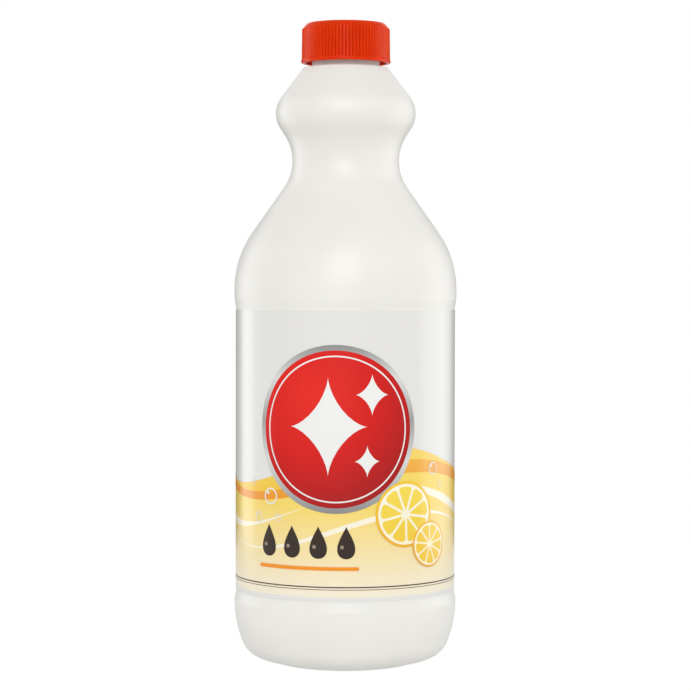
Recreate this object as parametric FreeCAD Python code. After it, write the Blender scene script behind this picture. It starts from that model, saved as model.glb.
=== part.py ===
import FreeCAD, Part
import math
import os

# Bleach bottle of 1.25 litres: a blow-moulded polyethylene bottle with a waist and a grip bulb
# below its neck, a ribbed screw cap with a foam liner, and a film label wrapped round the body.
# Millimetres. +Z is up, the front of the label faces -Y, and the origin is the centre of the base,
# on the surface that the bottle stands on.

# Base of the bottle: a push-up inside a flat standing ring
push_up_height = 4.0
push_up_radius = 17.0
push_up_fillet = 8.0
foot_inner_radius = 26.2
foot_width = 3.4

# Outline above the base: each rise is counted from the corner below it
knee_radius = 41.7
knee_rise = 3.5
knee_fillet = 10.6
body_radius = 47.0
heel_rise = 13.4
heel_fillet = 45.0
lower_band_rise = 9.6
panel_recess = 0.7
panel_step_rise = 3.4
panel_height = 120.0
upper_band_rise = 17.5
shoulder_fillet = 41.1
waist_radius = 18.4
waist_rise = 40.5
waist_fillet = 19.6
bulb_radius = 32.1
bulb_rise = 20.75
bulb_fillet = 11.5
ledge_rise = 18.95
ledge_width = 3.7

# Neck finish: thread_radius is the outside of the thread, the size that its cap has to match
thread_radius = 16.3
thread_depth = 1.25
thread_pitch = 4.2333
thread_turns = 1.4
thread_root_width = 2.4
thread_crest_width = 0.9
thread_drop = 2.8
finish_height = 15.9
finish_wall = 2.15
neck_relief_depth = 0.8
neck_relief_height = 3.4
neck_relief_slope = 0.8
lip_chamfer = 0.5

# Walls of the blown shell, and the weld that the closing mould leaves across the base. The inside's
# fillets are chords that leave the true arc by no more than inside_chord_error.
body_wall = 0.9
base_wall = 1.3
ledge_wall = 1.3
inside_chord_error = 0.42
weld_length = 44.0
weld_width = 1.4
weld_height = 0.7

# Cap
cap_gap = 1.9
cap_wall = 1.55
cap_top_wall = 1.6
cap_draft = 0.15
rib_count = 80
rib_depth = 0.4
rib_foot_share = 0.8
rib_crest_share = 0.3
lip_band_height = 1.1
lip_band_proud = 0.2
lip_band_chamfer = 0.3
cap_chamfer_rise = 1.5
cap_chamfer_run = 1.0
cap_crown_rise = 1.2
cap_crown_run = 1.25
cap_mouth_depth = 1.5
cap_mouth_relief = 0.3
cap_thread_root_width = 2.0
cap_thread_crest_width = 0.8
cap_thread_lead = 1.6

# Clearances between the cap's thread and the bottle's: over each crest, and between their flanks
crest_clearance = 0.45
flank_clearance = 0.3

# Both threads fade out at their ends over this angle, down to this share of their height, and
# start this far inside their wall
thread_fade_angle = 24.0
thread_end_share = 0.1
thread_root_sink = 0.4
thread_section_angle = 18.0

# Foam liner that the cap presses on the bottle's lip
liner_thickness = 1.0
liner_clearance = 0.25

# Film label with its glued lap at the back
label_margin = 1.1
label_film = 0.12
label_glue = 0.02
label_lap = 7.0

# Outline edges shorter than this are left out
shortest_edge = 1e-6

# Heights and radii that follow from the sizes above
foot_outer_radius = foot_inner_radius + foot_width
heel_height = knee_rise + heel_rise
lower_band_top = heel_height + lower_band_rise
panel_bottom = lower_band_top + panel_step_rise
panel_top = panel_bottom + panel_height
panel_radius = body_radius - panel_recess
upper_band_bottom = panel_top + panel_step_rise
shoulder_height = upper_band_bottom + upper_band_rise
waist_height = shoulder_height + waist_rise
bulb_height = waist_height + bulb_rise
ledge_height = bulb_height + ledge_rise
lip_height = ledge_height + finish_height
thread_root_radius = thread_radius - thread_depth
neck_relief_radius = thread_root_radius - neck_relief_depth
neck_relief_top = ledge_height + neck_relief_height
ledge_radius = neck_relief_radius + ledge_width
bore_radius = thread_root_radius - finish_wall
cap_bottom = ledge_height + cap_gap
cap_inside_top = lip_height + liner_thickness
cap_top = cap_inside_top + cap_top_wall
cap_bore_radius = thread_radius + crest_clearance
cap_thread_crest_radius = thread_root_radius + crest_clearance
rib_root_radius = cap_bore_radius + cap_wall
rib_crest_radius = rib_root_radius + rib_depth


def point(radius, height):
    """A point of an outline, in the plane that is turned about the bottle's axis."""
    return FreeCAD.Vector(radius, 0, height)


def rounded_outline(corners):
    """Closed wire through the corners (radius, height, fillet), each rounded by its fillet.

    Where two neighbouring fillets would run into each other, both shrink to share their side.
    """
    spots = [point(radius, height) for radius, height, fillet in corners]
    count = len(spots)
    turns = []
    reaches = []
    for index in range(count):
        backward = (spots[index - 1] - spots[index]).normalize()
        forward = (spots[(index + 1) % count] - spots[index]).normalize()
        turn = math.pi - backward.getAngle(forward)
        turns.append(turn)
        reaches.append(corners[index][2] * math.tan(turn / 2))
    shares = [1.0] * count
    for index in range(count):
        following = (index + 1) % count
        wanted = reaches[index] + reaches[following]
        side = (spots[following] - spots[index]).Length
        if wanted > side:
            shares[index] = min(shares[index], side / wanted)
            shares[following] = min(shares[following], side / wanted)
    edges = []
    ends = []
    for index in range(count):
        reach = reaches[index] * shares[index]
        backward = (spots[index - 1] - spots[index]).normalize()
        forward = (spots[(index + 1) % count] - spots[index]).normalize()
        start = spots[index] + backward * reach
        end = spots[index] + forward * reach
        ends.append((start, end))
        if (end - start).Length > shortest_edge:
            radius = reach / math.tan(turns[index] / 2)
            bisector = (backward + forward).normalize()
            to_centre = radius / math.cos(turns[index] / 2)
            middle = spots[index] + bisector * (to_centre - radius)
            edges.append(Part.Arc(start, middle, end).toShape())
    for index in range(count):
        start = ends[index][1]
        end = ends[(index + 1) % count][0]
        if (end - start).Length > shortest_edge:
            edges.append(Part.LineSegment(start, end).toShape())
    return Part.Wire(Part.__sortEdges__(edges))


def turned(corners):
    """Solid of revolution about the bottle's axis, from its outline's corners."""
    profile = Part.Face(rounded_outline(corners))
    solid = profile.revolve(FreeCAD.Vector(0, 0, 0), FreeCAD.Vector(0, 0, 1), 360)
    return solid


def turned_direction(direction, angle):
    """The direction after a left turn by the angle, in the outline's plane."""
    across = point(-direction.z, direction.x)
    return direction * math.cos(angle) + across * math.sin(angle)


def inner_corners(corners, walls):
    """Corners of the inside of a shell whose outside has these corners.

    Each side moves inwards by its own wall. Each fillet keeps the centre of the one outside it, and
    is made of a few chords, because nothing shows in there.
    """
    lines = []
    for index in range(len(corners) - 1):
        start = point(corners[index][0], corners[index][1])
        end = point(corners[index + 1][0], corners[index + 1][1])
        along = (end - start).normalize()
        inwards = point(-along.z, along.x)
        lines.append((start + inwards * walls[index], along))
    inside = []
    for index in range(1, len(lines)):
        before, along_before = lines[index - 1]
        after, along_after = lines[index]
        cross = along_before.x * along_after.z - along_before.z * along_after.x
        gap = after - before
        travel = (gap.x * along_after.z - gap.z * along_after.x) / cross
        meeting = before + along_before * travel
        wall = (walls[index - 1] + walls[index]) / 2
        outer_fillet = corners[index][2]
        if outer_fillet == 0:
            inside.append((meeting.x, meeting.z, 0))
            continue
        fillet = max(0, outer_fillet - math.copysign(wall, cross))
        turn = math.copysign(along_before.getAngle(along_after), cross)
        chords = 1
        while fillet * (1 / math.cos(turn / 2 / chords) - 1) > inside_chord_error:
            chords += 1
        chord_reach = fillet * math.tan(abs(turn) / 2 / chords)
        spot = meeting - along_before * fillet * math.tan(abs(turn) / 2)
        for chord in range(chords):
            before_chord = turned_direction(along_before, turn * chord / chords)
            after_chord = turned_direction(along_before, turn * (chord + 1) / chords)
            corner = spot + before_chord * chord_reach
            inside.append((corner.x, corner.z, 0))
            spot = corner + after_chord * chord_reach
    return inside


def thread_ridge(root_radius, crest_radius, root_width, crest_width, start_angle, start_height):
    """Right-handed helical ridge that fades out at both ends, lofted through its sections.

    Its foot is sunk into the wall that carries it, on the side away from the crest.
    """
    outwards = math.copysign(1, crest_radius - root_radius)
    full_angle = 360 * thread_turns
    steps = math.ceil(full_angle / thread_section_angle)
    sections = []
    for step in range(steps + 1):
        angle = full_angle * step / steps
        from_end = min(angle, full_angle - angle)
        grown = thread_end_share + (1 - thread_end_share) * from_end / thread_fade_angle
        growth = min(1, grown)
        crest = root_radius + (crest_radius - root_radius) * growth
        foot = root_radius - outwards * thread_root_sink
        height = start_height + thread_pitch * angle / 360
        half_crest = (root_width + (crest_width - root_width) * growth) / 2
        half_root = root_width / 2
        spots = [
            point(foot, height - half_root),
            point(root_radius, height - half_root),
            point(crest, height - half_crest),
            point(crest, height + half_crest),
            point(root_radius, height + half_root),
            point(foot, height + half_root),
        ]
        section = Part.makePolygon(spots + spots[:1])
        section.rotate(FreeCAD.Vector(0, 0, 0), FreeCAD.Vector(0, 0, 1), start_angle + angle)
        sections.append(section)
    return Part.makeLoft(sections, True, True)


def shell_corners():
    """Outside and inside corners of the blown bottle, from the middle of the base up and back."""
    outside = [
        (0, push_up_height, 0),
        (push_up_radius, push_up_height, push_up_fillet),
        (foot_inner_radius, 0, 0),
        (foot_outer_radius, 0, 0),
        (knee_radius, knee_rise, knee_fillet),
        (body_radius, heel_height, heel_fillet),
        (body_radius, lower_band_top, 0),
        (panel_radius, panel_bottom, 0),
        (panel_radius, panel_top, 0),
        (body_radius, upper_band_bottom, 0),
        (body_radius, shoulder_height, shoulder_fillet),
        (waist_radius, waist_height, waist_fillet),
        (bulb_radius, bulb_height, bulb_fillet),
        (ledge_radius, ledge_height, 0),
        (neck_relief_radius, ledge_height, 0),
    ]
    base_sides = 4
    body_sides = len(outside) - 2 - base_sides
    walls = [base_wall] * base_sides + [body_wall] * body_sides + [ledge_wall]
    inside = inner_corners(outside, walls)
    neck = [
        (neck_relief_radius, neck_relief_top, 0),
        (thread_root_radius, neck_relief_top + neck_relief_slope, 0),
        (thread_root_radius, lip_height - lip_chamfer, 0),
        (thread_root_radius - lip_chamfer, lip_height, 0),
        (bore_radius, lip_height, 0),
        (bore_radius, ledge_height - ledge_wall, 0),
    ]
    middle = [(0, push_up_height + base_wall, 0)]
    return outside + neck + inside[::-1] + middle


def base_weld():
    """Ridge that the pinched-off tube leaves across the push-up, along X, sunk into the base."""
    layer_height = weld_height + base_wall / 2
    middle = push_up_height - weld_height
    rim = middle - push_up_height
    layer = turned([
        (0, middle, 0),
        (push_up_radius, middle, push_up_fillet),
        (foot_inner_radius, rim, 0),
        (foot_inner_radius, rim + layer_height, 0),
        (push_up_radius, middle + layer_height, push_up_fillet),
        (0, middle + layer_height, 0),
    ])
    slab = Part.makeBox(weld_length, weld_width, push_up_height + layer_height)
    slab.translate(FreeCAD.Vector(-weld_length / 2, -weld_width / 2, rim))
    return layer.common(slab)


def make_bottle():
    """Blown shell with its threaded neck and the weld under its base."""
    shell = turned(shell_corners())
    ridge_start = lip_height - thread_drop - thread_pitch * thread_turns
    ridge = thread_ridge(
        thread_root_radius, thread_radius, thread_root_width, thread_crest_width, 0, ridge_start
    )
    return shell.fuse([ridge, base_weld()]).removeSplitter()


def make_label():
    """Film wrapped once round the panel, its end glued over its start at the back."""
    inner_radius = panel_radius + label_glue
    outer_radius = inner_radius + label_film
    bottom = panel_bottom + label_margin
    height = panel_height - 2 * label_margin
    sleeve = Part.makeCylinder(outer_radius, height).cut(Part.makeCylinder(inner_radius, height))
    lap_angle = math.degrees(label_lap / outer_radius)
    lap_radius = outer_radius + label_film
    lap = Part.makeCylinder(
        lap_radius, height, FreeCAD.Vector(0, 0, 0), FreeCAD.Vector(0, 0, 1), lap_angle
    )
    lap = lap.cut(Part.makeCylinder((inner_radius + outer_radius) / 2, height))
    lap.rotate(FreeCAD.Vector(0, 0, 0), FreeCAD.Vector(0, 0, 1), 90 - lap_angle / 2)
    label = sleeve.fuse(lap).removeSplitter()
    label.translate(FreeCAD.Vector(0, 0, bottom))
    return label


def make_liner():
    """Foam disc between the lip and the top of the cap."""
    radius = cap_bore_radius - liner_clearance
    return Part.makeCylinder(radius, liner_thickness, FreeCAD.Vector(0, 0, lip_height))


def cap_body():
    """Cap without its ribs and thread: a turned cup with a lip band, a chamfer and a crown."""
    band_top = cap_bottom + lip_band_height
    crown_bottom = cap_top - cap_crown_rise
    chamfer_bottom = crown_bottom - cap_chamfer_rise
    crown_radius = rib_crest_radius - cap_draft - cap_chamfer_run
    root_share = (rib_depth - cap_draft / 2) / cap_chamfer_run
    root_top = chamfer_bottom + cap_chamfer_rise * root_share
    chamfer_slope = cap_chamfer_run / cap_chamfer_rise
    root_top_radius = rib_crest_radius - cap_draft - (root_top - chamfer_bottom) * chamfer_slope
    mouth_radius = cap_bore_radius + cap_mouth_relief
    band_radius = rib_crest_radius + lip_band_proud
    return turned([
        (0, cap_top, 0),
        (crown_radius - cap_crown_run, cap_top, 0),
        (crown_radius, crown_bottom, 0),
        (root_top_radius, root_top, 0),
        (rib_root_radius, band_top, 0),
        (band_radius, band_top, 0),
        (band_radius, cap_bottom + lip_band_chamfer, 0),
        (band_radius - lip_band_chamfer, cap_bottom, 0),
        (mouth_radius, cap_bottom, 0),
        (mouth_radius, cap_bottom + cap_mouth_depth, 0),
        (cap_bore_radius, cap_bottom + cap_mouth_depth, 0),
        (cap_bore_radius, cap_inside_top, 0),
        (0, cap_inside_top, 0),
    ])


def cap_ribs():
    """Ring of upright ribs, cut to the cap's draft and to the chamfer at its top.

    The prism reaches past the ribs' crests, and the envelope cuts it back to them.
    """
    pitch_angle = 2 * math.pi / rib_count
    foot_radius = rib_root_radius - cap_draft
    outer_radius = rib_crest_radius + rib_depth
    corners = [
        (foot_radius, -rib_foot_share / 2),
        (outer_radius, -rib_crest_share / 2),
        (outer_radius, rib_crest_share / 2),
        (foot_radius, rib_foot_share / 2),
    ]
    spots = []
    for index in range(rib_count):
        for radius, share in corners:
            angle = (index + share) * pitch_angle
            spots.append(FreeCAD.Vector(radius * math.cos(angle), radius * math.sin(angle), 0))
    bottom = cap_bottom + lip_band_height / 2
    crown_bottom = cap_top - cap_crown_rise
    chamfer_bottom = crown_bottom - cap_chamfer_rise
    outline = Part.makePolygon(spots + spots[:1])
    prism = Part.Face(outline).extrude(FreeCAD.Vector(0, 0, crown_bottom - bottom))
    prism.translate(FreeCAD.Vector(0, 0, bottom))
    envelope = turned([
        (cap_bore_radius + cap_wall / 2, bottom, 0),
        (rib_crest_radius, bottom, 0),
        (rib_crest_radius - cap_draft, chamfer_bottom, 0),
        (rib_crest_radius - cap_draft - cap_chamfer_run, crown_bottom, 0),
        (cap_bore_radius + cap_wall / 2, crown_bottom, 0),
    ])
    return prism.common(envelope)


def make_cap():
    """Moulded screw cap with grip ribs outside and its thread inside."""
    separation = (thread_root_width + cap_thread_crest_width) / 2 + flank_clearance
    bottle_start = lip_height - thread_drop - thread_pitch * thread_turns
    ridge_start = cap_bottom + cap_mouth_depth + cap_thread_lead
    start_angle = 360 * (ridge_start + separation - bottle_start) / thread_pitch
    ridge = thread_ridge(
        cap_bore_radius,
        cap_thread_crest_radius,
        cap_thread_root_width,
        cap_thread_crest_width,
        start_angle,
        ridge_start,
    )
    return cap_body().fuse([cap_ribs(), ridge]).removeSplitter()


os.makedirs("parts", exist_ok=True)
nodes = {
    "bottle": make_bottle(),
    "label": make_label(),
    "cap_liner": make_liner(),
    "cap": make_cap(),
}
for name, shape in nodes.items():
    shape.exportStep("parts/" + name + ".step")
    print(name, "solids", len(shape.Solids), "valid", shape.isValid(), "volume", round(shape.Volume, 1))
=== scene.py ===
import math

import bmesh
import bpy
from mathutils import Matrix, Vector


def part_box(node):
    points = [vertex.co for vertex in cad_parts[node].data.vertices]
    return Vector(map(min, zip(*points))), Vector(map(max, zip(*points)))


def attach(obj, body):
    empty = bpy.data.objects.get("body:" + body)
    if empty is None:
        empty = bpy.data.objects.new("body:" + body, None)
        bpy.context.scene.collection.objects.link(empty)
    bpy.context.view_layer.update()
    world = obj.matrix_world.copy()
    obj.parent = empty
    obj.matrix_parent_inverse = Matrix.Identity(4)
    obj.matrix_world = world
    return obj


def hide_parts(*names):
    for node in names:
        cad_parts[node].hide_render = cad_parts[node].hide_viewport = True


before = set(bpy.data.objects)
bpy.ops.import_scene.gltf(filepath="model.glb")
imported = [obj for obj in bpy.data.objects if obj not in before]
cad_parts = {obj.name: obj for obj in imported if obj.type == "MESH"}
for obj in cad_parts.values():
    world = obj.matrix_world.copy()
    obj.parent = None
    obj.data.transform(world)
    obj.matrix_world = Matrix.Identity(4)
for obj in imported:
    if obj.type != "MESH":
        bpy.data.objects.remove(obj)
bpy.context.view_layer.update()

# Sizes are in millimetres, and heights are counted from the surface that the bottle stands on
MM = 0.001
body_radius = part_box("bottle")[1].x / MM
lip_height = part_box("bottle")[1].z / MM
label_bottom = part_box("label")[0].z / MM
label_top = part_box("label")[1].z / MM
label_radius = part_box("label")[1].x / MM
cap_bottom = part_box("cap")[0].z / MM
cap_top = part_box("cap")[1].z / MM
cap_band_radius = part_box("cap")[1].x / MM

# Bottle: the same outline as the solid, with the small edges rounded as the mould rounds them
push_up_height = 4.0
push_up_radius = 17.0
foot_inner_radius = 26.2
foot_outer_radius = 29.6
knee_radius = 41.7
knee_height = 3.5
heel_height = 16.9
step_rise = 3.4
label_margin = 1.1
panel_recess = 0.7
shoulder_drop = 96.1
waist_radius = 18.4
waist_drop = 55.6
bulb_radius = 32.1
bulb_drop = 34.85
ledge_drop = 15.9
ledge_radius = 17.95
relief_radius = 14.25
relief_rise = 3.4
relief_cone = 0.8
thread_root_radius = 15.05
bore_radius = 12.9
body_wall = 0.9
base_wall = 1.3

# Screw threads of the neck and the cap
thread_pitch = 4.2333
thread_turns = 1.4
thread_drop = 2.8
thread_fade = math.radians(24)
neck_root_width = 2.4
neck_crest_width = 0.9
cap_root_width = 2.0
cap_crest_width = 0.8
cap_thread_rise = 3.1
flank_clearance = 0.3
neck_thread_radius = 16.3
cap_bore_radius = 16.75
cap_thread_radius = 15.5
thread_sink = 0.3
thread_shoulder = 0.25
thread_rounding = 0.15
thread_end_share = 0.02

# Base weld: the pinched seam of the blown tube, across the underside
weld_length = 44.0
weld_width = 1.4
weld_height = 0.7
weld_sink = 0.3

# Cap: the grip ribs stand on a plain wall, climb the chamfer and run out over the lip band
rib_count = 80
rib_root_radius = 18.1
rib_depth = 0.6
rib_crest_share = 0.48
rib_flank_share = 0.2
cap_draft = 0.15
band_height = 1.1
crown_rise = 1.3
crown_run = 1.1
chamfer_rise = 1.1
chamfer_run = 1.0
rib_runout = 0.7
rib_fillet = 0.3
crown_lip = 0.25
lip_fillet = 0.1
mouth_depth = 1.5
mouth_gap = 0.3
mouth_lead = 0.2
liner_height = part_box("cap_liner")[1].z / MM

# Label film
film = 0.12
lap_length = 7.0
lap_ramp = 2.0

# Print: a layer of ink is drawn thicker than it is, so that one on top of another shows cleanly,
# and fills this share of its layer. Wide prints are cut into strips that bend round the panel
ink = 0.03
ink_share = 0.9
print_strip = 1.5

# How finely round stretches are divided
arc_step = math.radians(6)
small_fillet = 1.0
small_arc_step = math.radians(18)
sharp_angle = math.radians(40)
bottle_sectors = 18
sector_steps = 10
rib_steps = 8
thread_steps = 252
weld_steps = (88, 8)
label_steps = 240
ribbon_steps = 220
close_together = 1e-3

# Surface patterns: the real size of each
peel_grain = 1.1
sag_length = 26.0
flow_length = 8.0
foam_cell = 0.55
film_ripple = 33.0
seam_half_width = 0.35

# Surface patterns that are too fine to show in the render, so they are drawn coarser than they
# are: the texture of a moulded cap is about 0.2 mm across, and print dots lie 0.17 mm apart
moulded_grain = 0.7
print_grain = 0.4

# Studio, in metres: its lamps and cards face the bottle at half its height
aim_height = 0.135
floor_half = 0.4
floor_glow = 0.6
floor_glow_seen = 0.93
card_distance = 0.55
card_height = 0.54


def linear(code):
    """A colour written as an sRGB hex value, turned to linear red, green, blue and alpha."""
    channels = [int(code[place:place + 2], 16) / 255 for place in (1, 3, 5)]
    return [c / 12.92 if c <= 0.04045 else ((c + 0.055) / 1.055) ** 2.4 for c in channels] + [1.0]


def add_node(tree, kind, sockets=None, stops=None, **settings):
    """Adds a node, sets its properties and its ramp's stops, and sets or links its inputs."""
    node = tree.nodes.new(kind)
    for name, value in settings.items():
        setattr(node, name, value)
    for name, value in (sockets or {}).items():
        if isinstance(value, bpy.types.NodeSocket):
            tree.links.new(value, node.inputs[name])
        else:
            node.inputs[name].default_value = value
    for number, (place, code) in enumerate(stops or []):
        elements = node.color_ramp.elements
        if number == len(elements):
            elements.new(place)
        elements[number].position = place
        elements[number].color = linear(code)
    return node


def new_material(name):
    """An empty material and its node tree."""
    material = bpy.data.materials.new(name)
    material.use_nodes = True
    material.node_tree.nodes.clear()
    return material, material.node_tree


def add_piece(bm, name, body, material, replaced=None):
    """Makes an object of the mesh, which is in millimetres, and ties it to the frame."""
    bmesh.ops.scale(bm, vec=(MM, MM, MM), verts=bm.verts[:])
    for face in bm.faces:
        face.smooth = True
    for edge in bm.edges:
        edge.smooth = edge.calc_face_angle(0) < sharp_angle
    mesh = bpy.data.meshes.new(name)
    bm.to_mesh(mesh)
    bm.free()
    mesh.materials.append(material)
    piece = bpy.data.objects.new(name, mesh)
    bpy.context.scene.collection.objects.link(piece)
    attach(piece, body)
    if replaced:
        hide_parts(replaced)
    return piece


def draw_outline(bm, corners):
    """Draws edges in the XZ plane through the corners (radius, height, fillet).

    Each fillet is a vertex spun about the fillet's centre.
    """
    spots = [Vector((radius, 0, height)) for radius, height, fillet in corners]
    previous = None
    for index, (radius, height, fillet) in enumerate(corners):
        first = last = None
        if fillet == 0:
            first = last = bm.verts.new(spots[index])
        else:
            back = (spots[index - 1] - spots[index]).normalized()
            ahead = (spots[index + 1] - spots[index]).normalized()
            turn = math.pi - back.angle(ahead)
            step = arc_step if fillet > small_fillet else small_arc_step
            side = math.copysign(1, ahead.x * back.z - ahead.z * back.x)
            centre = spots[index] + (back + ahead).normalized() * fillet / math.cos(turn / 2)
            first = bm.verts.new(spots[index] + back * fillet * math.tan(turn / 2))
            made = bmesh.ops.spin(
                bm, geom=[first], cent=centre, axis=(0, 1, 0), angle=-side * turn,
                steps=max(2, math.ceil(turn / step)), use_merge=False, use_duplicate=False,
            )
            last = [item for item in made["geom_last"] if isinstance(item, bmesh.types.BMVert)][0]
        if previous:
            bm.edges.new((previous, first))
        previous = last


def turn_sector(bm, sectors, steps):
    """Turns the drawn outline through one of a number of equal sectors about the axis."""
    bmesh.ops.spin(
        bm, geom=bm.verts[:] + bm.edges[:], cent=(0, 0, 0), axis=(0, 0, 1),
        angle=2 * math.pi / sectors, steps=steps, use_merge=False, use_duplicate=False,
    )


def repeat_sector(bm, sectors):
    """Repeats the sector all the way round and closes the seams and the poles."""
    bmesh.ops.spin(
        bm, geom=bm.verts[:] + bm.edges[:] + bm.faces[:], cent=(0, 0, 0), axis=(0, 0, 1),
        angle=2 * math.pi * (sectors - 1) / sectors, steps=sectors - 1,
        use_merge=False, use_duplicate=True,
    )
    bmesh.ops.remove_doubles(bm, verts=bm.verts[:], dist=close_together)
    bmesh.ops.recalc_face_normals(bm, faces=bm.faces[:])


def join(bm, part):
    """Adds one mesh to another."""
    mesh = bpy.data.meshes.new("part")
    part.to_mesh(mesh)
    part.free()
    bm.from_mesh(mesh)
    bpy.data.meshes.remove(mesh)


def make_thread(root_radius, crest_radius, root_width, crest_width, start_angle, start_height):
    """A right-handed ridge round the axis, sunk into its wall, fading out at both ends."""
    outwards = math.copysign(1, crest_radius - root_radius)
    foot = root_radius - outwards * thread_sink
    shoulder = crest_radius - outwards * thread_shoulder
    section = [
        (foot, -root_width / 2), (root_radius, -root_width / 2),
        (shoulder, -crest_width / 2 - thread_rounding), (crest_radius, -crest_width / 4),
        (crest_radius, crest_width / 4), (shoulder, crest_width / 2 + thread_rounding),
        (root_radius, root_width / 2), (foot, root_width / 2),
    ]
    bm = bmesh.new()
    verts = [bm.verts.new((radius, 0, start_height + rise)) for radius, rise in section]
    loop = [bm.edges.new((verts[i - 1], verts[i])) for i in range(len(verts))]
    turn = Matrix.Rotation(start_angle, 3, "Z")
    bmesh.ops.rotate(bm, verts=verts, cent=(0, 0, 0), matrix=turn)
    full_angle = 2 * math.pi * thread_turns
    bmesh.ops.spin(
        bm, geom=verts + loop, cent=(0, 0, 0), axis=(0, 0, 1), angle=full_angle,
        steps=thread_steps, dvec=(0, 0, thread_pitch * thread_turns / thread_steps),
        use_merge=False, use_duplicate=False,
    )
    # The ridge rises out of its wall over the first stretch and sinks back over the last
    for vert in bm.verts:
        angle = (math.atan2(vert.co.y, vert.co.x) - start_angle) % (2 * math.pi)
        climbed = (vert.co.z - start_height) / thread_pitch - angle / (2 * math.pi)
        angle += 2 * math.pi * round(climbed)
        growth = min(1, angle / thread_fade, (full_angle - angle) / thread_fade)
        radius = math.hypot(vert.co.x, vert.co.y)
        if (radius - root_radius) * outwards > 0:
            share = math.sin(max(thread_end_share, growth) * math.pi / 2)
            rise = (radius - root_radius) * share
            vert.co.x *= (root_radius + rise) / radius
            vert.co.y *= (root_radius + rise) / radius
    rims = [edge for edge in bm.edges if edge.is_boundary]
    bmesh.ops.holes_fill(bm, edges=rims, sides=0)
    bmesh.ops.recalc_face_normals(bm, faces=bm.faces[:])
    return bm


def bottle_material():
    """Blown high-density polyethylene: milky, satin, with a faint orange peel and a parting line.

    Light goes a little way into it, so its edges stay soft.
    """
    material, tree = new_material("blown_polyethylene")
    place = add_node(tree, "ShaderNodeTexCoord").outputs["Object"]
    peel = add_node(
        tree, "ShaderNodeTexNoise",
        {"Vector": place, "Scale": 1 / (peel_grain * MM), "Detail": 3.0},
    ).outputs["Fac"]
    sag = add_node(
        tree, "ShaderNodeTexNoise",
        {"Vector": place, "Scale": 1 / (sag_length * MM), "Detail": 1.0},
    ).outputs["Fac"]
    across = add_node(tree, "ShaderNodeSeparateXYZ", {"Vector": place}).outputs["Y"]
    off_seam = add_node(tree, "ShaderNodeMath", {0: across}, operation="ABSOLUTE").outputs[0]
    seam = add_node(
        tree, "ShaderNodeMapRange",
        {"Value": off_seam, "From Max": seam_half_width * MM, "To Min": 1.0, "To Max": 0.0},
        interpolation_type="SMOOTHSTEP",
    ).outputs[0]
    rough = add_node(
        tree, "ShaderNodeMapRange", {"Value": peel, "To Min": 0.34, "To Max": 0.44}
    ).outputs[0]
    wave = add_node(
        tree, "ShaderNodeBump", {"Height": sag, "Strength": 0.3, "Distance": 0.0006}
    ).outputs[0]
    grain = add_node(
        tree, "ShaderNodeBump",
        {"Height": peel, "Strength": 0.3, "Distance": 0.00006, "Normal": wave},
    ).outputs[0]
    line = add_node(
        tree, "ShaderNodeBump",
        {"Height": seam, "Strength": 0.8, "Distance": 0.0001, "Normal": grain},
    ).outputs[0]
    tint = add_node(
        tree, "ShaderNodeValToRGB", {"Fac": sag}, [(0.3, "#EEECE6"), (0.7, "#F2F0EA")]
    ).outputs["Color"]
    surface = add_node(
        tree, "ShaderNodeBsdfPrincipled",
        {"Base Color": tint, "Roughness": rough, "Normal": line, "IOR": 1.54,
         "Subsurface Weight": 0.2, "Subsurface Radius": (1.0, 0.9, 0.8),
         "Subsurface Scale": 0.0015},
    )
    add_node(tree, "ShaderNodeOutputMaterial", {"Surface": surface.outputs[0]})
    return material


def cap_material():
    """Moulded polypropylene, coloured right through: red-orange, satin, with faint flow marks."""
    material, tree = new_material("moulded_polypropylene")
    place = add_node(tree, "ShaderNodeTexCoord").outputs["Object"]
    grain = add_node(
        tree, "ShaderNodeTexNoise",
        {"Vector": place, "Scale": 1 / (moulded_grain * MM), "Detail": 2.0},
    ).outputs["Fac"]
    flow = add_node(
        tree, "ShaderNodeTexNoise",
        {"Vector": place, "Scale": 1 / (flow_length * MM), "Detail": 2.0},
    ).outputs["Fac"]
    tint = add_node(
        tree, "ShaderNodeValToRGB", {"Fac": flow}, [(0.3, "#DC3403"), (0.7, "#E43A05")]
    ).outputs["Color"]
    bump = add_node(
        tree, "ShaderNodeBump", {"Height": grain, "Strength": 0.3, "Distance": 0.00004}
    ).outputs[0]
    rough = add_node(
        tree, "ShaderNodeMapRange", {"Value": grain, "To Min": 0.26, "To Max": 0.36}
    ).outputs[0]
    surface = add_node(
        tree, "ShaderNodeBsdfPrincipled",
        {"Base Color": tint, "Roughness": rough, "Normal": bump, "IOR": 1.49,
         "Specular IOR Level": 0.12, "Subsurface Weight": 0.8,
         "Subsurface Radius": (1.0, 0.25, 0.1), "Subsurface Scale": 0.004},
    )
    add_node(tree, "ShaderNodeOutputMaterial", {"Surface": surface.outputs[0]})
    return material


def liner_material():
    """Expanded polyethylene foam: white, dull, with closed cells about half a millimetre across."""
    material, tree = new_material("foam_liner")
    place = add_node(tree, "ShaderNodeTexCoord").outputs["Object"]
    cells = add_node(
        tree, "ShaderNodeTexVoronoi", {"Vector": place, "Scale": 1 / (foam_cell * MM)}
    ).outputs["Distance"]
    tint = add_node(
        tree, "ShaderNodeValToRGB", {"Fac": cells}, [(0.0, "#F2F1EC"), (0.8, "#DAD9D3")]
    ).outputs["Color"]
    bump = add_node(
        tree, "ShaderNodeBump", {"Height": cells, "Strength": 0.5, "Distance": 0.0001}
    ).outputs[0]
    surface = add_node(
        tree, "ShaderNodeBsdfPrincipled", {"Base Color": tint, "Roughness": 0.8, "Normal": bump}
    )
    add_node(tree, "ShaderNodeOutputMaterial", {"Surface": surface.outputs[0]})
    return material


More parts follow.
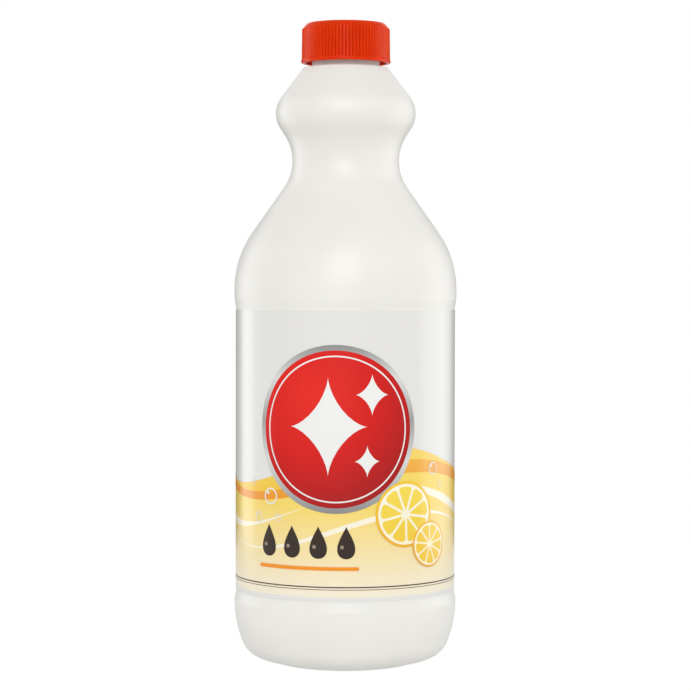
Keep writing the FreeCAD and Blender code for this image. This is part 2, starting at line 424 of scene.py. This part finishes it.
def film_material(name, stops, low, high, centre=None):
    """Printed and varnished polypropylene film: smooth and glossy, its colour running with height.

    With a centre the colour runs outwards from it instead. A fine noise stands for the print's
    grain, and a long one for the ripple of a film that was stretched round the panel.
    """
    material, tree = new_material(name)
    place = add_node(tree, "ShaderNodeTexCoord").outputs["Object"]
    if centre:
        measure = add_node(
            tree, "ShaderNodeVectorMath", {0: place, 1: Vector(centre) * MM}, operation="DISTANCE"
        ).outputs["Value"]
    else:
        measure = add_node(tree, "ShaderNodeSeparateXYZ", {"Vector": place}).outputs["Z"]
    run = add_node(
        tree, "ShaderNodeMapRange",
        {"Value": measure, "From Min": low * MM, "From Max": high * MM},
    ).outputs[0]
    tint = add_node(tree, "ShaderNodeValToRGB", {"Fac": run}, stops).outputs["Color"]
    grain = add_node(
        tree, "ShaderNodeTexNoise",
        {"Vector": place, "Scale": 1 / (print_grain * MM), "Detail": 1.0},
    ).outputs["Fac"]
    level = add_node(
        tree, "ShaderNodeMapRange", {"Value": grain, "To Min": 0.97, "To Max": 1.03}
    ).outputs[0]
    grained = add_node(
        tree, "ShaderNodeVectorMath", {0: tint, "Scale": level}, operation="SCALE"
    ).outputs[0]
    rough = add_node(
        tree, "ShaderNodeMapRange", {"Value": grain, "To Min": 0.17, "To Max": 0.24}
    ).outputs[0]
    ripple = add_node(
        tree, "ShaderNodeTexNoise",
        {"Vector": place, "Scale": 1 / (film_ripple * MM), "Detail": 1.0},
    ).outputs["Fac"]
    bump = add_node(
        tree, "ShaderNodeBump", {"Height": ripple, "Strength": 0.15, "Distance": 0.0004}
    ).outputs[0]
    surface = add_node(
        tree, "ShaderNodeBsdfPrincipled",
        {"Base Color": grained, "Roughness": rough, "Normal": bump, "IOR": 1.58},
    )
    add_node(tree, "ShaderNodeOutputMaterial", {"Surface": surface.outputs[0]})
    return material


def make_weld():
    """The weld bead across the push-up, sunk a little into the base so that it sits on it."""
    bm = bmesh.new()
    bmesh.ops.create_grid(bm, x_segments=weld_steps[0], y_segments=weld_steps[1], size=0.5)
    deeper = bmesh.ops.extrude_face_region(bm, geom=bm.faces[:])["geom"]
    deeper = {item for item in deeper if isinstance(item, bmesh.types.BMVert)}
    for vert in bm.verts:
        along = vert.co.x * weld_length
        side = vert.co.y * 2
        rise = push_up_height * (foot_inner_radius - abs(along))
        base = min(push_up_height, rise / (foot_inner_radius - push_up_radius))
        ends = min(1, (weld_length / 2 - abs(along)) / weld_width)
        bead = weld_height * math.sqrt(1 - side ** 2) * math.sqrt(ends)
        height = base + weld_sink if vert in deeper else base + weld_sink / 2 - bead
        vert.co = Vector((along, side * weld_width / 2, height))
    bmesh.ops.recalc_face_normals(bm, faces=bm.faces[:])
    return bm


def make_bottle():
    """The blown shell with its inside, and the thread on its neck."""
    panel_bottom = label_bottom - label_margin
    panel_top = label_top + label_margin
    panel_radius = body_radius - panel_recess
    shoulder = lip_height - shoulder_drop
    waist = lip_height - waist_drop
    bulb = lip_height - bulb_drop
    ledge = lip_height - ledge_drop
    # Where the wall slants, its inner corners lie further in or out than its thickness says
    inner_knee = knee_radius - 0.6 * body_wall
    slant = 1.25 * body_wall
    outside = [
        (0, push_up_height, 0),
        (push_up_radius, push_up_height, 8.0),
        (foot_inner_radius, 0, 1.2),
        (foot_outer_radius, 0, 1.7),
        (knee_radius, knee_height, 10.5),
        (body_radius, heel_height, 45.0),
        (body_radius, panel_bottom - step_rise, 1.5),
        (panel_radius, panel_bottom, 1.5),
        (panel_radius, panel_top, 1.5),
        (body_radius, panel_top + step_rise, 1.5),
        (body_radius, shoulder, 41.1),
        (waist_radius, waist, 19.6),
        (bulb_radius, bulb, 11.5),
        (ledge_radius, ledge, 1.2),
        (relief_radius, ledge, 0.4),
        (relief_radius, ledge + relief_rise, 0.4),
        (thread_root_radius, ledge + relief_rise + relief_cone, 0.4),
        (thread_root_radius, lip_height, 0.5),
    ]
    inside = [
        (bore_radius, lip_height, 0.5),
        (bore_radius, ledge - base_wall, 1.2),
        (ledge_radius - 0.2, ledge - base_wall, 0.6),
        (bulb_radius - slant, bulb, 10.6),
        (waist_radius - slant + 0.2, waist, 20.5),
        (body_radius - body_wall, shoulder - 0.3, 40.2),
        (body_radius - body_wall, panel_top + step_rise, 1.0),
        (panel_radius - body_wall, panel_top, 1.0),
        (panel_radius - body_wall, panel_bottom, 1.0),
        (body_radius - body_wall, panel_bottom - step_rise, 1.0),
        (body_radius - body_wall, heel_height, 44.0),
        (inner_knee, knee_height + base_wall, 9.5),
        (foot_outer_radius, base_wall, 2.0),
        (foot_inner_radius, base_wall, 2.0),
        (push_up_radius, push_up_height + base_wall, 8.0),
        (0, push_up_height + base_wall, 0),
    ]
    bm = bmesh.new()
    draw_outline(bm, outside + inside)
    turn_sector(bm, bottle_sectors, sector_steps)
    repeat_sector(bm, bottle_sectors)
    neck_start = lip_height - thread_drop - thread_pitch * thread_turns
    join(bm, make_thread(
        thread_root_radius, neck_thread_radius, neck_root_width, neck_crest_width, 0, neck_start
    ))
    join(bm, make_weld())
    return add_piece(
        bm, "bottle_shell", "bottle", bottle_material(), "bottle"
    )


def make_cap():
    """The ribbed cap with its lip band, chamfered crown and inside thread."""
    band_top = cap_bottom + band_height
    crown_bottom = cap_top - crown_rise
    chamfer_bottom = crown_bottom - chamfer_rise
    crest_radius = rib_root_radius + rib_depth
    crown_radius = crest_radius - cap_draft - chamfer_run
    slope = chamfer_run / chamfer_rise
    mouth_radius = cap_bore_radius + mouth_gap
    bm = bmesh.new()
    draw_outline(bm, [
        (0, cap_top, 0),
        (crown_radius - crown_run, cap_top, 0.4),
        (crown_radius, crown_bottom, lip_fillet),
        (crown_radius - crown_lip, crown_bottom - crown_lip, lip_fillet),
        (rib_root_radius, chamfer_bottom, rib_fillet),
        (rib_root_radius, band_top + rib_runout, rib_fillet),
        (cap_band_radius, band_top, 0.3),
        (cap_band_radius, cap_bottom, 0.4),
        (mouth_radius, cap_bottom, 0.3),
        (mouth_radius, cap_bottom + mouth_depth, 0.1),
        (cap_bore_radius, cap_bottom + mouth_depth + mouth_lead, 0.1),
        (cap_bore_radius, liner_height, 0.3),
        (0, liner_height, 0),
    ])
    turn_sector(bm, rib_count, rib_steps)
    rib_bends = (
        band_top + rib_runout, chamfer_bottom - rib_fillet, chamfer_bottom,
        crown_bottom - lip_fillet,
    )
    for height in rib_bends:
        bmesh.ops.bisect_plane(
            bm, geom=bm.verts[:] + bm.edges[:] + bm.faces[:], dist=close_together,
            plane_co=(0, 0, height), plane_no=(0, 0, 1),
        )
    # One rib is pushed out of the middle of the sector, up to its drafted or chamfered crest
    for vert in bm.verts:
        radius = math.hypot(vert.co.x, vert.co.y)
        height = vert.co.z
        on_wall = radius >= crown_radius - crown_lip - lip_fillet
        if not (on_wall and band_top < height < crown_bottom - lip_fillet / 2):
            continue
        drafted = crest_radius - cap_draft * (height - band_top) / (chamfer_bottom - band_top)
        chamfered = crest_radius - cap_draft - (height - chamfer_bottom) * slope
        from_middle = abs(math.atan2(vert.co.y, vert.co.x) * rib_count / (2 * math.pi) - 0.5)
        side = (rib_crest_share / 2 + rib_flank_share - from_middle) / rib_flank_share
        side = math.sin(min(1, max(0, side)) * math.pi / 2)
        push = max(0, min(drafted, chamfered) - radius) * side
        vert.co.x *= (radius + push) / radius
        vert.co.y *= (radius + push) / radius
    repeat_sector(bm, rib_count)
    cap_start = cap_bottom + cap_thread_rise
    neck_start = lip_height - thread_drop - thread_pitch * thread_turns
    apart = (neck_root_width + cap_crest_width) / 2 + flank_clearance
    start_angle = 2 * math.pi * (cap_start + apart - neck_start) / thread_pitch
    join(bm, make_thread(
        cap_bore_radius, cap_thread_radius, cap_root_width, cap_crest_width,
        start_angle, cap_start,
    ))
    return add_piece(bm, "screw_cap", "cap", cap_material(), "cap")


def film_lift(along):
    """How far the film stands off at a place along it, where its end laps over its start."""
    half_turn = math.pi * label_radius
    return film * min(1, max(0, (along - (half_turn - lap_length)) / lap_ramp))


def wrap(bm):
    """Bends flat work round the panel: X runs along the film, -Y lifts off it, Z stays."""
    for vert in bm.verts:
        along = vert.co.x
        angle = along / label_radius
        radius = label_radius - vert.co.y + film_lift(along)
        vert.co.x = radius * math.sin(angle)
        vert.co.y = -radius * math.cos(angle)
    bmesh.ops.recalc_face_normals(bm, faces=bm.faces[:])
    # On a thin closed band the operator can turn every face inwards
    if bm.calc_volume(signed=True) < 0:
        bmesh.ops.reverse_faces(bm, faces=bm.faces[:])


def thicken(bm, outer, inner):
    """Gives flat work in the XZ plane an outer and an inner face, at heights off the film."""
    made = bmesh.ops.extrude_face_region(bm, geom=bm.faces[:])["geom"]
    lifted = {item for item in made if isinstance(item, bmesh.types.BMVert)}
    for vert in bm.verts:
        vert.co.y = -outer if vert in lifted else -inner


def make_label():
    """The film itself, from its start under the lap round to its end on top of it."""
    reach = 2 * math.pi * label_radius + lap_length
    bm = bmesh.new()
    bmesh.ops.create_grid(bm, x_segments=label_steps, y_segments=1, size=0.5)
    for vert in bm.verts:
        height = label_bottom + (vert.co.y + 0.5) * (label_top - label_bottom)
        vert.co = Vector((vert.co.x * reach, 0, height))
    thicken(bm, 0, -film)
    wrap(bm)
    material = film_material(
        "label_film_white", [(0.0, "#E7E6E2"), (1.0, "#E9E8E4")], label_bottom, label_top
    )
    return add_piece(bm, "label_sheet", "bottle", material, "label")


def put_on_label(bm, name, layer, material, cut=True):
    """Cuts flat print into strips so that it bends, gives it an ink's thickness and wraps it."""
    places = [vert.co.x for vert in bm.verts]
    strip = math.ceil(min(places) / print_strip)
    while cut and strip * print_strip < max(places):
        bmesh.ops.bisect_plane(
            bm, geom=bm.verts[:] + bm.edges[:] + bm.faces[:], dist=close_together,
            plane_co=(strip * print_strip, 0, 0), plane_no=(1, 0, 0),
        )
        strip += 1
    thicken(bm, ink * layer, ink * (layer - ink_share))
    wrap(bm)
    return add_piece(bm, name, "bottle", material)


def add_shape(bm, points):
    """A flat face through points given as (along, height)."""
    bm.faces.new([bm.verts.new((along, 0, height)) for along, height in points])


def add_ring(bm, centre, outer, inner, count=96):
    """A flat ring round a centre given as (along, height)."""
    loops = []
    for radius in (outer, inner):
        verts = [bm.verts.new((x, 0, z)) for x, z in circle(centre, radius, count)]
        loops += [bm.edges.new((verts[i - 1], verts[i])) for i in range(count)]
    bmesh.ops.bridge_loops(bm, edges=loops)


def circle(centre, radius, count=96):
    """Points round a circle."""
    turns = [2 * math.pi * i / count for i in range(count)]
    return [(centre[0] + radius * math.cos(t), centre[1] + radius * math.sin(t)) for t in turns]


def sparkle(centre, size, count=48):
    """Points round a four-pointed sparkle, whose sides are the arcs of an astroid."""
    points = []
    for i in range(count):
        turn = 2 * math.pi * i / count
        across = math.copysign(abs(math.cos(turn)) ** 3, math.cos(turn))
        up = math.copysign(abs(math.sin(turn)) ** 3, math.sin(turn))
        points.append((centre[0] + 0.8 * size * across, centre[1] + size * up))
    return points


def plate(centre, length, width, corner, count=8):
    """Points round a long plate with rounded corners."""
    points = []
    for quarter, (right, up) in enumerate(((1, 1), (-1, 1), (-1, -1), (1, -1))):
        for i in range(count + 1):
            turn = math.pi / 2 * (quarter + i / count)
            points.append((
                centre[0] + right * (length / 2 - corner) + corner * math.cos(turn),
                centre[1] + up * (width / 2 - corner) + corner * math.sin(turn),
            ))
    return points


def drop(centre, size, count=48):
    """Points round a drop that hangs from its tip."""
    points = []
    for i in range(count):
        turn = 2 * math.pi * i / count
        across = 0.62 * size * math.sin(turn) * math.sin(turn / 2) ** 1.4
        points.append((centre[0] - 1.25 * across, centre[1] + size * math.cos(turn)))
    return points


def segment(centre, turn, spread, inner, outer, count=10):
    """Points round one segment of a cut lemon: a rounded back and a blunt inner point."""
    points = [(centre[0] + inner * math.cos(turn), centre[1] + inner * math.sin(turn))]
    for i in range(count + 1):
        place = 2 * i / count - 1
        angle = turn + spread * place
        radius = outer * (1 - 0.1 * place ** 6)
        points.append((centre[0] + radius * math.cos(angle), centre[1] + radius * math.sin(angle)))
    return points


def add_ribbon(bm, lower, upper):
    """A band right round the label between two waves, each (height, swing, shift)."""
    start = lap_length / 2 - math.pi * label_radius
    made = bmesh.ops.create_grid(bm, x_segments=ribbon_steps, y_segments=1, size=0.5)
    for vert in made["verts"]:
        along = start + (vert.co.x + 0.5) * 2 * math.pi * label_radius
        height, swing, shift = upper if vert.co.y > 0 else lower
        vert.co = Vector((along, 0, height + swing * math.sin(2 * along / label_radius + shift)))


def make_waves():
    """Waves and streaks over a yellow field that pales downwards, and two fine rules below."""
    base = label_bottom
    field = film_material(
        "ink_yellow_field",
        [(0.0, "#F7EFDC"), (0.3, "#F8E4AC"), (0.62, "#FADC6E"), (1.0, "#FADC62")],
        base, base + 62,
    )
    bm = bmesh.new()
    add_ribbon(bm, (base + 1.7, 0, 0), (base + 50, 6, 0.5))
    put_on_label(bm, "print_field", 1, field, cut=False)

    cream = film_material("ink_cream", [(0.0, "#FBF3D6"), (1.0, "#FDF8E8")], base, base + 60)
    bm = bmesh.new()
    add_ribbon(bm, (base + 36.9, 9, 0.85), (base + 38.8, 8.6, 0.65))
    add_ribbon(bm, (base + 27.5, 7.5, 0.2), (base + 28.7, 8.1, 0.32))
    put_on_label(bm, "print_cream_streaks", 2, cream, cut=False)

    amber = film_material("ink_amber", [(0.0, "#F39A22"), (1.0, "#F9BB4C")], base + 40, base + 60)
    bm = bmesh.new()
    add_ribbon(bm, (base + 46, 6, 0.3), (base + 53, 7.5, 0.6))
    put_on_label(bm, "print_amber_wave", 3, amber, cut=False)

    gold = film_material("ink_gold", [(0.0, "#F8CB3C"), (1.0, "#FBDD72")], base + 44, base + 64)
    bm = bmesh.new()
    add_ribbon(bm, (base + 50.3, 7, 0.35), (base + 54.6, 8.5, 0.85))
    put_on_label(bm, "print_gold_wave", 4, gold, cut=False)

    rule = film_material("ink_umber", [(0.0, "#55483A"), (1.0, "#3A2C22")], base, base + 40)
    bm = bmesh.new()
    add_ribbon(bm, (base + 5.6, 0, 0), (base + 6.1, 0, 0))
    add_ribbon(bm, (base + 4.7, 0, 0), (base + 4.95, 0, 0))
    put_on_label(bm, "print_rules", 3, rule, cut=False)


def make_roundel(white):
    """A red roundel with three sparkles, in a silver ring."""
    roundel = (-4.0, 101.0)
    roundel_radius = 32.0
    silver_reach = 34
    silver = film_material(
        "ink_silver",
        [(0.0, "#8D8D8B"), (0.3, "#DCDCDA"), (0.55, "#A3A3A1"), (0.8, "#E0E0DE"),
         (1.0, "#929290")],
        roundel[1] - silver_reach, roundel[1] + silver_reach,
    )
    bm = bmesh.new()
    add_ring(bm, roundel, 34.2, 31.5)
    put_on_label(bm, "print_silver_ring", 5, silver)

    # The red is brightest round a spot above the middle of the roundel and to its left
    bright_turn = -0.3
    bright_spot = Vector((math.sin(bright_turn), -math.cos(bright_turn), 0)) * label_radius
    bright_spot.z = roundel[1] + 14
    red = film_material(
        "ink_red", [(0.0, "#EE2418"), (0.5, "#DC120D"), (1.0, "#A90F0E")], 2, 48, bright_spot
    )
    bm = bmesh.new()
    add_shape(bm, circle(roundel, roundel_radius))
    put_on_label(bm, "print_red_roundel", 6, red)

    bm = bmesh.new()
    add_ring(bm, roundel, 29.9, 29.3)
    add_shape(bm, sparkle((roundel[0] - 3, roundel[1] + 1), 20))
    add_shape(bm, sparkle((roundel[0] + 15, roundel[1] + 14), 8.5))
    add_shape(bm, sparkle((roundel[0] + 13, roundel[1] - 13), 6.5))
    put_on_label(bm, "print_white_sparkles", 7, white)


def make_lemons():
    """Two round slices of lemon, the small one over the large one."""
    skin = film_material("ink_lemon_skin", [(0.0, "#EFA91C"), (1.0, "#F9CF34")], 45, 80)
    pith = film_material("ink_lemon_pith", [(0.0, "#FBF2CE"), (1.0, "#FEFAE6")], 45, 80)
    flesh = film_material("ink_lemon_flesh", [(0.0, "#F2C62A"), (1.0, "#FBE258")], 45, 80)
    segment_count = 9
    for name, centre, size, turned, layer in (
        ("large", (26.0, 66.0), 13.5, 0.2, 8), ("small", (39.0, 53.0), 9.5, 0.55, 11),
    ):
        back, rind, hearts = bmesh.new(), bmesh.new(), bmesh.new()
        add_shape(back, circle(centre, size))
        add_shape(rind, circle(centre, 0.92 * size))
        for i in range(segment_count):
            turn = turned + 2 * math.pi * i / segment_count
            add_shape(hearts, segment(centre, turn, 0.3, 0.12 * size, 0.84 * size))
        put_on_label(back, "print_lemon_skin_" + name, layer, skin)
        put_on_label(rind, "print_lemon_pith_" + name, layer + 1, pith)
        put_on_label(hearts, "print_lemon_flesh_" + name, layer + 2, flesh)


def make_bubbles(white):
    """Bubbles, each a thin ring with a glint."""
    bm = bmesh.new()
    for centre, size in (
        ((-33, 73), 3.4), ((-40, 64), 2.2), ((-29, 64.5), 1.6),
        ((41, 84), 2.6), ((46, 77), 1.5), ((-44, 78), 1.3),
    ):
        add_ring(bm, centre, size, 0.82 * size, 40)
        add_shape(bm, circle((centre[0] - 0.4 * size, centre[1] + 0.4 * size), 0.2 * size, 20))
    put_on_label(bm, "print_bubbles", 8, white)


def make_drops():
    """A row of four dark drops, each with a glint, over an orange line."""
    dark = film_material("ink_dark", [(0.0, "#2E2119"), (1.0, "#3D2F24")], 45, 65)
    light_umber = film_material("ink_light_umber", [(0.0, "#8A7461"), (1.0, "#B29C86")], 45, 65)
    drops, glints = bmesh.new(), bmesh.new()
    for along in (-34, -22.5, -11, 0.5):
        add_shape(drops, drop((along, 55), 6.6))
        add_shape(glints, circle((along - 1.7, 53.2), 0.8, 20))
    put_on_label(drops, "print_dark_drops", 5, dark)
    put_on_label(glints, "print_drop_glints", 6, light_umber)
    orange = film_material("ink_orange", [(0.0, "#F58E12"), (1.0, "#FD9F22")], 40, 55)
    bm = bmesh.new()
    add_shape(bm, plate((-16.75, 44.4), 45, 1.5, 0.7))
    put_on_label(bm, "print_orange_line", 5, orange)


def make_prints():
    """The generic design on the label.

    A shape's place is given along the film from the middle of the front, and as a height.
    """
    white = film_material("ink_white", [(0.0, "#EDEDE9"), (1.0, "#F6F6F3")], 40, 140)
    make_waves()
    make_roundel(white)
    make_lemons()
    make_bubbles(white)
    make_drops()


def add_staged(name, bm, material):
    """Adds the floor or a card of the studio, which isn't part of the bottle."""
    mesh = bpy.data.meshes.new(name)
    bm.to_mesh(mesh)
    bm.free()
    mesh.materials.append(material)
    staged = bpy.data.objects.new(name, mesh)
    bpy.context.scene.collection.objects.link(staged)
    return staged


def facing(azimuth, elevation, distance):
    """Place and turn of something that faces the bottle, its azimuth counted from the front."""
    turn = math.radians(azimuth)
    rise = math.radians(elevation)
    away = Vector((
        math.sin(turn) * math.cos(rise), -math.cos(turn) * math.cos(rise), math.sin(rise)
    ))
    return Vector((0, 0, aim_height)) + away * distance, away.to_track_quat("Z", "Y").to_euler()


def make_floor():
    """A pale floor that glows a little, as a light table does, so that only a faint shadow stays.

    Its glow and its grey together make white to the camera. On the bottle it shines more weakly.
    """
    material, tree = new_material("studio_floor")
    seen = add_node(tree, "ShaderNodeLightPath").outputs["Is Camera Ray"]
    level = add_node(
        tree, "ShaderNodeMapRange",
        {"Value": seen, "To Min": floor_glow, "To Max": floor_glow_seen},
    ).outputs[0]
    glow = add_node(tree, "ShaderNodeEmission", {"Color": linear("#FFFFFF"), "Strength": level})
    paint = add_node(tree, "ShaderNodeBsdfDiffuse", {"Color": linear("#5C5C5C")})
    both = add_node(tree, "ShaderNodeAddShader", {0: paint.outputs[0], 1: glow.outputs[0]})
    add_node(tree, "ShaderNodeOutputMaterial", {"Surface": both.outputs[0]})
    bm = bmesh.new()
    bmesh.ops.create_grid(bm, x_segments=1, y_segments=1, size=floor_half)
    add_staged("floor", bm, material)


def make_surround():
    """A white surround, which is full white to the camera.

    Its soft light is strongest a little above the floor and weaker overhead. In gloss it is white
    behind the bottle and dimmer above and in front, so that rounded tops don't shine.
    """
    world = bpy.data.worlds.new("white_surround")
    bpy.context.scene.world = world
    world.use_nodes = True
    tree = world.node_tree
    tree.nodes.clear()
    path = add_node(tree, "ShaderNodeLightPath").outputs
    direction = add_node(tree, "ShaderNodeTexCoord").outputs["Generated"]
    parts = add_node(tree, "ShaderNodeSeparateXYZ", {"Vector": direction}).outputs
    backwards = add_node(
        tree, "ShaderNodeMath", {0: parts["Y"], 1: parts["Z"]}, operation="SUBTRACT"
    ).outputs[0]
    mirrored = add_node(
        tree, "ShaderNodeMapRange",
        {"Value": backwards, "From Min": -0.2, "From Max": 0.6, "To Min": 0.25, "To Max": 1.0},
    ).outputs[0]
    height = add_node(
        tree, "ShaderNodeMapRange", {"Value": parts["Z"], "From Min": -1.0, "From Max": 1.0}
    ).outputs[0]
    diffused = add_node(
        tree, "ShaderNodeValToRGB", {"Fac": height},
        [(0.42, "#C8C8C8"), (0.55, "#FFFFFF"), (0.7, "#E8E8E8"), (1.0, "#A8A8A8")],
    ).outputs["Color"]
    lighting = add_node(
        tree, "ShaderNodeMix", {"Factor": path["Is Glossy Ray"], "A": diffused, "B": mirrored}
    ).outputs["Result"]
    seen = add_node(
        tree, "ShaderNodeMath", {0: path["Is Camera Ray"], 1: path["Is Transmission Ray"]},
        operation="MAXIMUM",
    ).outputs[0]
    level = add_node(
        tree, "ShaderNodeMath", {0: seen, 1: lighting}, operation="MAXIMUM"
    ).outputs[0]
    sky = add_node(
        tree, "ShaderNodeBackground", {"Color": linear("#FFFFFF"), "Strength": level}
    )
    add_node(tree, "ShaderNodeOutputWorld", {"Surface": sky.outputs[0]})


def add_soft_boxes():
    """A large soft box in front, a small one behind and above, and one on each side."""
    for name, azimuth, elevation, distance, width, height, power in (
        ("front_box", -3, 25, 2.2, 0.94, 1.26, 16.4),
        ("back_box", 180, 48, 1.4, 0.6, 0.6, 3.0),
        ("left_box", -119, 4, 0.8, 0.32, 0.9, 1.15),
        ("right_box", 105, 4, 0.8, 0.6, 0.9, 1.75),
    ):
        lamp = bpy.data.lights.new(name, "AREA")
        lamp.shape = "RECTANGLE"
        lamp.size = width
        lamp.size_y = height
        lamp.energy = power
        holder = bpy.data.objects.new(name, lamp)
        holder.location, holder.rotation_euler = facing(azimuth, elevation, distance)
        bpy.context.scene.collection.objects.link(holder)


def add_dark_cards():
    """Dark cards behind the bottle on both sides, which draw its edges against the white."""
    material, tree = new_material("dark_card")
    felt = add_node(tree, "ShaderNodeBsdfDiffuse", {"Color": linear("#484848")})
    add_node(tree, "ShaderNodeOutputMaterial", {"Surface": felt.outputs[0]})
    for name, azimuth, width in (("left_card", -153, 0.33), ("right_card", 153, 0.28)):
        place, turn = facing(azimuth, 0, card_distance)
        bm = bmesh.new()
        bmesh.ops.create_grid(bm, x_segments=1, y_segments=1, size=0.5)
        bmesh.ops.scale(bm, vec=(width, card_height, 1), verts=bm.verts[:])
        bmesh.ops.rotate(bm, verts=bm.verts[:], cent=(0, 0, 0), matrix=turn.to_matrix())
        bmesh.ops.translate(bm, verts=bm.verts[:], vec=place)
        add_staged(name, bm, material).visible_camera = False


def make_camera():
    """A camera at the photograph's angle.

    Rows and distances are in pixels of the photograph, and the bottle's axis sets their size.
    """
    frame_size = 691
    axis_distance = 2250
    horizon_row = 278
    base_row = 659.5
    pixel = 0.4242 * MM
    eye_height = (base_row - horizon_row) * pixel
    # One row and a tenth of a degree, by which the picture is moved and rolled to meet it
    framing_trim = 1.0
    roll = -0.0018
    tilt = math.atan2(frame_size / 2 - horizon_row - framing_trim, axis_distance)
    camera_data = bpy.data.cameras.new("camera")
    camera_data.sensor_width = 36.0
    camera_data.lens = camera_data.sensor_width * axis_distance / frame_size
    camera = bpy.data.objects.new("camera", camera_data)
    camera.location = (0, -axis_distance * pixel, eye_height)
    camera.rotation_euler = (math.pi / 2 - tilt, roll, 0)
    bpy.context.scene.collection.objects.link(camera)
    bpy.context.scene.camera = camera
    bpy.context.scene.view_settings.view_transform = "Standard"


make_bottle()
make_cap()
make_label()
make_prints()
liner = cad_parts["cap_liner"]
liner.data.materials.clear()
liner.data.materials.append(liner_material())
make_floor()
make_surround()
add_soft_boxes()
add_dark_cards()
make_camera()
